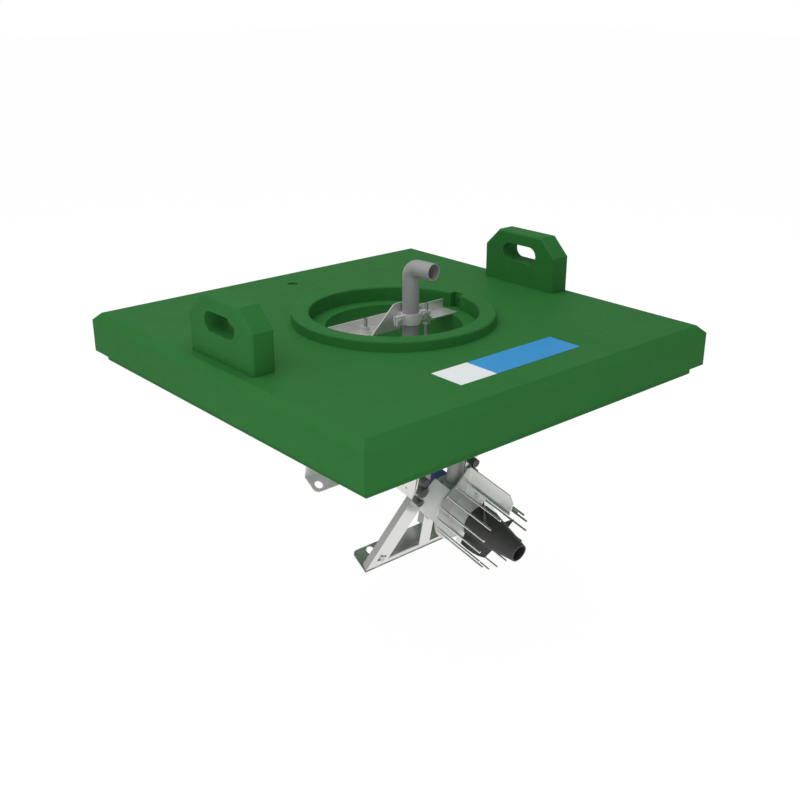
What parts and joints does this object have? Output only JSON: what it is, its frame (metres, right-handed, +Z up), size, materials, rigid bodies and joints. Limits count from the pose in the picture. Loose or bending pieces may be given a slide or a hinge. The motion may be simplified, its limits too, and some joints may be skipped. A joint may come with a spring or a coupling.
{
  "type": "floating hydro-ejector aerator",
  "caption": "Square pond float whose central well carries a steel beam; eye rods hang a tilted submersible motor with a caged propeller, fed with air by a bent pipe above deck.",
  "frame": {"origin": "on the axis of the float's round well, level with the float's underside", "axes": "+X along the cross beam from the lug near the left corner to the lug near the right corner, -Y the way the propeller points, +Z up"},
  "size_m": [1.05, 1.05, 0.7062],
  "materials": {
    "green_shell": "satin rotation-moulded polyethylene",
    "grey_pipe": "smooth grey pipe plastic",
    "stainless": "rolled stainless sheet, slightly mirror-like",
    "fastener": "turned stainless",
    "motor_steel": "drawn stainless tube",
    "dark_casting": "dark coated casting",
    "black_plastic": "moulded, dull",
    "light_plastic": "moulded, dull",
    "chamber_plastic": "moulded, dull",
    "rubber": "dull",
    "core_steel": "laminated electrical steel, out of sight",
    "bearing_steel": "ground, out of sight"
  },
  "bodies": {
    "frame_and_float": {"float_hull": "green_shell", "filler_plug": "green_shell", "cross_beam": "stainless", "hanger_rod_left": "fastener", "hanger_rod_right": "fastener", "hanger_washers": "fastener", "hanger_nuts": "fastener", "pivot_bolts": "fastener", "air_inlet_pipe": "grey_pipe", "air_feed_pipe": "grey_pipe", "pipe_coupling": "grey_pipe", "clamp_front": "stainless", "clamp_rear": "stainless", "clamp_screws": "fastener", "front_frame": "stainless", "rear_frame": "stainless", "side_rail_left": "stainless", "side_rail_right": "stainless", "slot_bolts": "fastener", "frame_buffers": "rubber", "motor_housing": "motor_steel", "motor_front_flange": "dark_casting", "motor_end_cap": "dark_casting", "cable_gland": "black_plastic", "stator": "core_steel", "front_bearing": "bearing_steel", "rear_bearing": "bearing_steel", "shaft_seal": "rubber", "air_chamber": "chamber_plastic", "front_bush": "black_plastic", "chamber_bolts": "fastener", "shroud_cheek_right": "light_plastic", "shroud_cheek_left": "light_plastic", "rubber_mounts": "rubber", "guard_ring": "stainless", "guard_rods": "stainless", "upper_fin": "stainless", "lower_fin": "stainless", "fin_bolts": "fastener"},
    "rotor_unit": {"motor_shaft": "bearing_steel", "rotor": "core_steel", "propeller": "black_plastic", "diffuser_cone": "black_plastic", "hub_nut": "fastener"}
  },
  "joints": [
    {"name": "propeller_spin", "type": "hinge", "parent": "frame_and_float", "child": "rotor_unit", "pos_m": [0, -0.1834, -0.2786], "axis": [0, -0.9781, -0.2079], "continuous": true}
  ]
}
